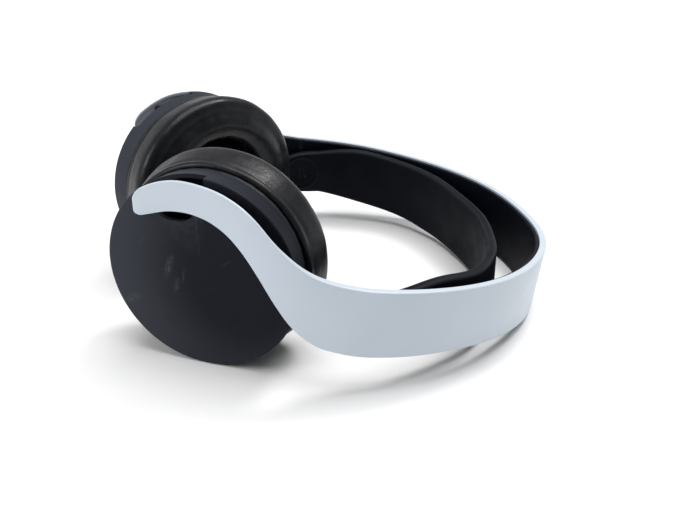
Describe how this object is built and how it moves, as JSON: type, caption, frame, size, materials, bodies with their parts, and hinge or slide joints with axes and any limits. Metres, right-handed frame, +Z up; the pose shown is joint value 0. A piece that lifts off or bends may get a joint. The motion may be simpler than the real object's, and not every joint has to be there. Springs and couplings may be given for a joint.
{
  "type": "gaming headset",
  "caption": "Wireless over-ear gaming headset with a wide rigid head band, elastic inner strap and round padded ear cups on two-axis pivots.",
  "frame": {"origin": "middle of the bounding box in plan, on the surface that the headset lies on", "axes": "+X from the ear cups to the apex of the head band (the wearer's up), +Y to the wearer's right cup, +Z up, which is the wearer's front"},
  "size_m": [0.2059, 0.1892, 0.0892],
  "materials": {
    "white_shell": "satin moulded, cool white",
    "black_plastic": "fine matte",
    "cup_plastic": "fine matte texture, scuffed",
    "buttons": "smooth matte",
    "strap_rubber": "smooth, softly matte elastomer",
    "leatherette": "soft synthetic leather, worn",
    "speaker_cloth": "fine open weave",
    "steel": "bright",
    "circuit_board": "solder mask",
    "battery_pouch": "foil laminate",
    "diaphragm_film": "thin film",
    "status_lens": "milky"
  },
  "bodies": {
    "root": {"band_outer_shell": "white_shell", "band_inner_shell": "black_plastic", "band_spring_strip": "steel", "band_harness": "black_plastic", "strap_anchor_left": "black_plastic", "strap_anchor_right": "black_plastic", "strap_screw_left": "steel", "strap_screw_right": "steel", "pivot_mount_left": "black_plastic", "pivot_mount_right": "black_plastic"},
    "strap": {"suspension_strap": "strap_rubber"},
    "gimbal_left": {"gimbal_ring_left": "black_plastic", "gimbal_pin_left": "steel"},
    "cup_left": {"cup_cover_left": "cup_plastic", "cup_chassis_left": "black_plastic", "baffle_left": "black_plastic", "driver_basket_left": "black_plastic", "driver_magnet_left": "steel", "driver_diaphragm_left": "diaphragm_film", "pad_ring_left": "black_plastic", "ear_cushion_left": "leatherette", "speaker_cloth_left": "speaker_cloth", "cover_screw_left_1": "steel", "cover_screw_left_2": "steel", "cover_screw_left_3": "steel", "main_board": "circuit_board", "usb_socket": "steel", "audio_socket": "black_plastic", "status_lens": "status_lens", "microphone_lower": "steel", "microphone_upper": "steel"},
    "gimbal_right": {"gimbal_ring_right": "black_plastic", "gimbal_pin_right": "steel"},
    "cup_right": {"cup_cover_right": "cup_plastic", "cup_chassis_right": "black_plastic", "baffle_right": "black_plastic", "driver_basket_right": "black_plastic", "driver_magnet_right": "steel", "driver_diaphragm_right": "diaphragm_film", "pad_ring_right": "black_plastic", "ear_cushion_right": "leatherette", "speaker_cloth_right": "speaker_cloth", "cover_screw_right_1": "steel", "cover_screw_right_2": "steel", "cover_screw_right_3": "steel", "battery": "battery_pouch"},
    "mute_button": {"mute_button": "buttons"},
    "monitor_button": {"monitor_button": "buttons"},
    "volume_rocker": {"volume_rocker": "buttons"},
    "balance_rocker": {"balance_rocker": "buttons"},
    "power_slider": {"power_slider": "buttons"}
  },
  "joints": [
    {"name": "cup_tilt_left", "type": "hinge", "parent": "root", "child": "gimbal_left", "pos_m": [-0.07074, -0.04938, 0.0755], "axis": [0, 0, -1], "range_deg": [-4, 3]},
    {"name": "cup_swivel_left", "type": "hinge", "parent": "gimbal_left", "child": "cup_left", "pos_m": [-0.07074, -0.04938, 0.0755], "axis": [-0.8678, 0.497, 0], "range_deg": [-5, 3]},
    {"name": "cup_tilt_right", "type": "hinge", "parent": "root", "child": "gimbal_right", "pos_m": [-0.07074, 0.04938, 0.0755], "axis": [0, 0, 1], "range_deg": [-4, 3]},
    {"name": "cup_swivel_right", "type": "hinge", "parent": "gimbal_right", "child": "cup_right", "pos_m": [-0.07074, 0.04938, 0.0755], "axis": [0.8678, 0.497, 0], "range_deg": [-5, 3]},
    {"name": "mute_button_press", "type": "slide", "parent": "cup_left", "child": "mute_button", "axis": [0.7732, -0.4428, 0.454], "range_m": [0, 0.0006], "stiffness_N_per_m": 1500},
    {"name": "monitor_button_press", "type": "slide", "parent": "cup_left", "child": "monitor_button", "axis": [0.8503, -0.487, 0.1994], "range_m": [0, 0.0006], "stiffness_N_per_m": 1500},
    {"name": "volume_rocker_rock", "type": "hinge", "parent": "cup_left", "child": "volume_rocker", "pos_m": [-0.09729, -0.03406, 0.04647], "axis": [-0.497, -0.8678, 0], "range_deg": [-3.5, 3.5], "stiffness_Nm_per_rad": 0.12},
    {"name": "balance_rocker_rock", "type": "hinge", "parent": "cup_left", "child": "balance_rocker", "pos_m": [-0.09418, -0.03584, 0.05982], "axis": [-0.497, -0.8678, 0], "range_deg": [-3.5, 3.5], "stiffness_Nm_per_rad": 0.12},
    {"name": "power_slider_slide", "type": "slide", "parent": "cup_left", "child": "power_slider", "axis": [-0.575, 0.3293, 0.749], "range_m": [0, 0.003]},
    {"name": "strap_stretch", "type": "slide", "parent": "root", "child": "strap", "axis": [1, 0, 0], "range_m": [0, 0.012], "stiffness_N_per_m": 250, "deforming": ["suspension_strap"]}
  ]
}
